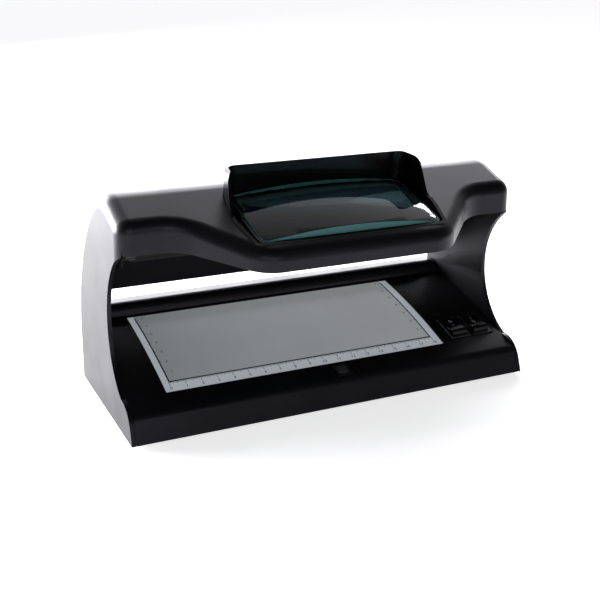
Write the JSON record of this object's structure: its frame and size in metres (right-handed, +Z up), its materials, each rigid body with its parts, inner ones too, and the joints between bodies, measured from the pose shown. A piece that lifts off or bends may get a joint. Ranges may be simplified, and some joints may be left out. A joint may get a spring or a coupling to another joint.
{
  "type": "counterfeit bill detector",
  "caption": "Hooded ultraviolet banknote checker: lamps and a magnifier in the hood over a back-lit measuring plate, with rocker switches and a magnetic head on the sloping base.",
  "frame": {"origin": "middle of the footprint, on the plane that the rubber feet stand on", "axes": "+X to the operator's right along the hood, +Y to the back, +Z up"},
  "size_m": [0.265, 0.139, 0.148],
  "materials": {
    "housing_plastic": "fine satin texture, black",
    "guard_plastic": "smooth black",
    "cover_plastic": "matte black",
    "lens_glass": "clear, green-tinted",
    "plate_acrylic": "translucent grey with printed scale",
    "foot_rubber": "matte black",
    "screw_steel": "zinc plated",
    "switch_plastic": "satin black",
    "rocker_plastic": "gloss black with white pad marks",
    "contact_brass": "plated",
    "head_steel": "polished",
    "circuit_board": "solder mask green",
    "uv_tube_glass": "dark blue-violet filter glass",
    "white_tube_glass": "white phosphor coated",
    "cap_metal": "satin",
    "holder_plastic": "black glass-filled nylon",
    "shield_lacquer": "black lacquered sheet",
    "reflector_sheet": "bright sheet",
    "ferrite": "dark grey core and wound coil",
    "capacitor_sleeve": "dark blue sleeve",
    "connector_plastic": "off white",
    "lead_insulation": "flexible insulation"
  },
  "bodies": {
    "root": {"hood_shell": "housing_plastic", "base_shell": "housing_plastic", "lens_guard": "guard_plastic", "bottom_cover": "cover_plastic", "lens_retainer": "cover_plastic", "magnifier_lens": "lens_glass", "measuring_plate": "plate_acrylic", "rubber_feet": "foot_rubber", "bottom_screws": "screw_steel", "lens_guard_screws": "screw_steel", "lens_retainer_screws": "screw_steel", "board_screws": "screw_steel", "inlet_screws": "screw_steel", "left_switch_housing": "switch_plastic", "right_switch_housing": "switch_plastic", "left_switch_terminals": "contact_brass", "right_switch_terminals": "contact_brass", "head_bezel": "switch_plastic", "magnetic_head": "ferrite", "head_core": "head_steel", "head_spring": "contact_brass", "sensor_board": "circuit_board", "uv_tube_front": "uv_tube_glass", "uv_tube_rear": "uv_tube_glass", "white_tube": "white_tube_glass", "uv_tube_front_caps": "cap_metal", "uv_tube_rear_caps": "cap_metal", "white_tube_caps": "cap_metal", "uv_lampholders_front": "holder_plastic", "uv_lampholders_rear": "holder_plastic", "white_lampholders": "holder_plastic", "uv_reflector": "shield_lacquer", "white_reflector": "reflector_sheet", "ballast_board": "circuit_board", "board_spacers": "connector_plastic", "ballast_chokes": "ferrite", "ballast_capacitors": "capacitor_sleeve", "ballast_transistors": "switch_plastic", "wire_connector": "connector_plastic", "mains_inlet": "switch_plastic", "inlet_pins": "contact_brass", "wiring_duct": "cover_plastic", "hood_leads": "lead_insulation"},
    "left_key": {"left_rocker": "rocker_plastic"},
    "right_key": {"right_rocker": "rocker_plastic"}
  },
  "joints": [
    {"name": "left_switch", "type": "hinge", "parent": "root", "child": "left_key", "pos_m": [0.0996, -0.01729, 0.0251], "axis": [1, 0, 0], "range_deg": [0, 24]},
    {"name": "right_switch", "type": "hinge", "parent": "root", "child": "right_key", "pos_m": [0.116, -0.01729, 0.0251], "axis": [1, 0, 0], "range_deg": [0, 24]}
  ]
}
